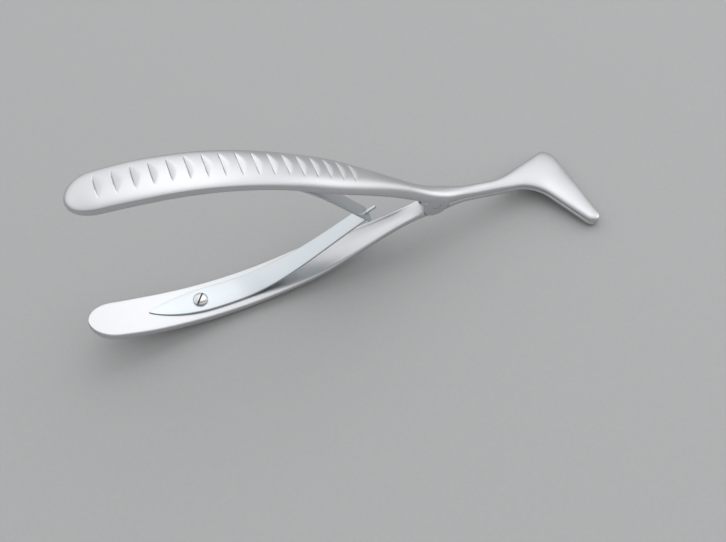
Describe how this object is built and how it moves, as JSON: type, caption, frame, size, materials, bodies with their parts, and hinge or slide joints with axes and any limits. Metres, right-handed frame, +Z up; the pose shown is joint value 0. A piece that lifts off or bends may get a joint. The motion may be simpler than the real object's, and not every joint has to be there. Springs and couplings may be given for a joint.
{
  "type": "nasal speculum",
  "caption": "Hand-held nasal speculum: hinged steel levers with grooved handles and turned blades that part when the handles are squeezed, and leaf springs that spread the handles again.",
  "frame": {"origin": "middle of the bounding box's bottom face, on the surface the instrument lies on", "axes": "+X from the handles' ends towards the blades, +Z up, and the blades turn towards -Y"},
  "size_m": [0.1568, 0.0306, 0.067],
  "materials": {
    "satin_steel": "satin",
    "pin_steel": "ground",
    "spring_steel": "satin",
    "screw_steel": "polished"
  },
  "bodies": {
    "lower": {"lower_lever": "satin_steel", "lower_spring": "spring_steel", "lower_spring_screw": "screw_steel", "hinge_pin": "pin_steel"},
    "upper": {"upper_lever": "satin_steel", "upper_spring": "spring_steel", "upper_spring_screw": "screw_steel"}
  },
  "joints": [
    {"name": "squeeze", "type": "hinge", "parent": "lower", "child": "upper", "pos_m": [0.02881, 0.0054, 0.01392], "axis": [0, -1, 0], "range_deg": [0, 25], "stiffness_Nm_per_rad": 1, "springref_deg": -5.73, "deforming": ["upper_spring", "lower_spring"]}
  ]
}
